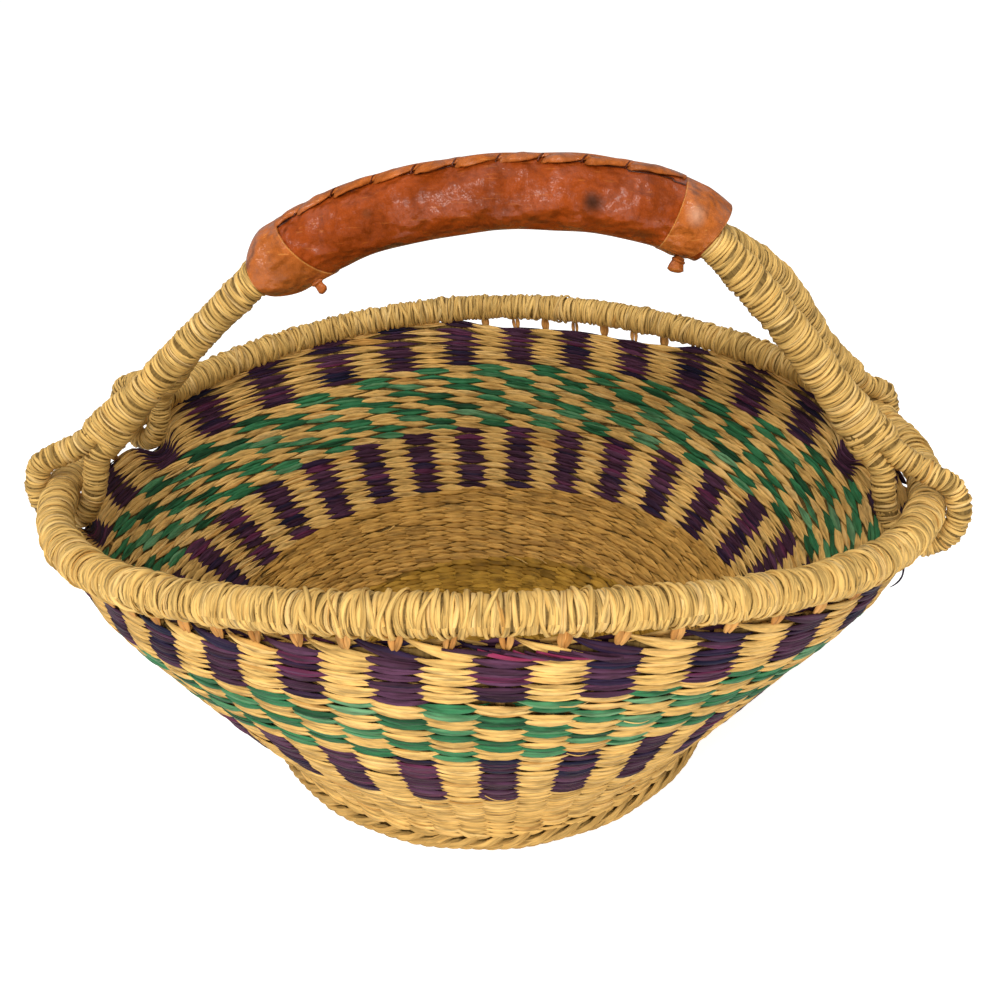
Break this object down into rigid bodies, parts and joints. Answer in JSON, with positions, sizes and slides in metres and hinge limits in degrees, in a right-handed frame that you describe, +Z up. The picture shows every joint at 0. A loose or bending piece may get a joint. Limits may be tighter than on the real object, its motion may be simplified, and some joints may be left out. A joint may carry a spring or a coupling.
{
  "type": "market basket",
  "caption": "Round woven straw basket with striped and checkered bands, a straw-wrapped rim and foot, and an arched handle with a leather grip.",
  "frame": {"origin": "on the floor, under the middle of the basket's overall width and depth", "axes": "+X along the handle's span, to the right of someone who faces the basket; +Y towards the back; +Z up"},
  "size_m": [0.4772, 0.3982, 0.3141],
  "materials": {
    "natural_straw": "matte woven grass",
    "pale_straw": "satin wrapped grass",
    "purple_straw": "matte dyed grass in purple and natural columns",
    "green_straw": "matte dyed grass in a green and natural checker",
    "tan_leather": "glossy worn leather",
    "dark_leather": "dark leather lace"
  },
  "bodies": {
    "basket": {"base_disc": "natural_straw", "foot_braid": "pale_straw", "wall_plain_straw": "natural_straw", "wall_lower_purple_band": "purple_straw", "wall_green_band": "green_straw", "wall_upper_purple_band": "purple_straw", "stake_ends_front": "natural_straw", "stake_ends_back": "natural_straw", "stake_ends_left": "natural_straw", "stake_ends_right": "natural_straw", "rim_wrapping": "pale_straw", "rim_core": "natural_straw"},
    "handle": {"handle_core_front": "natural_straw", "handle_core_back": "natural_straw", "leg_wrapping_front_left": "pale_straw", "leg_wrapping_back_left": "pale_straw", "leg_wrapping_front_right": "pale_straw", "leg_wrapping_back_right": "pale_straw", "rim_loop_front_left": "pale_straw", "rim_loop_back_left": "pale_straw", "rim_loop_front_right": "pale_straw", "rim_loop_back_right": "pale_straw", "grip_packing": "natural_straw", "grip_leather_sleeve": "tan_leather", "grip_left_collar": "tan_leather", "grip_right_collar": "tan_leather", "grip_seam_roll": "tan_leather", "grip_seam_lace": "dark_leather", "grip_left_knot": "dark_leather", "grip_right_knot": "dark_leather"}
  },
  "joints": [
    {"name": "handle_rock", "type": "hinge", "parent": "basket", "child": "handle", "pos_m": [-0.00413, 0.00081, 0.15404], "axis": [1, 0, 0], "range_deg": [-2, 2]}
  ]
}
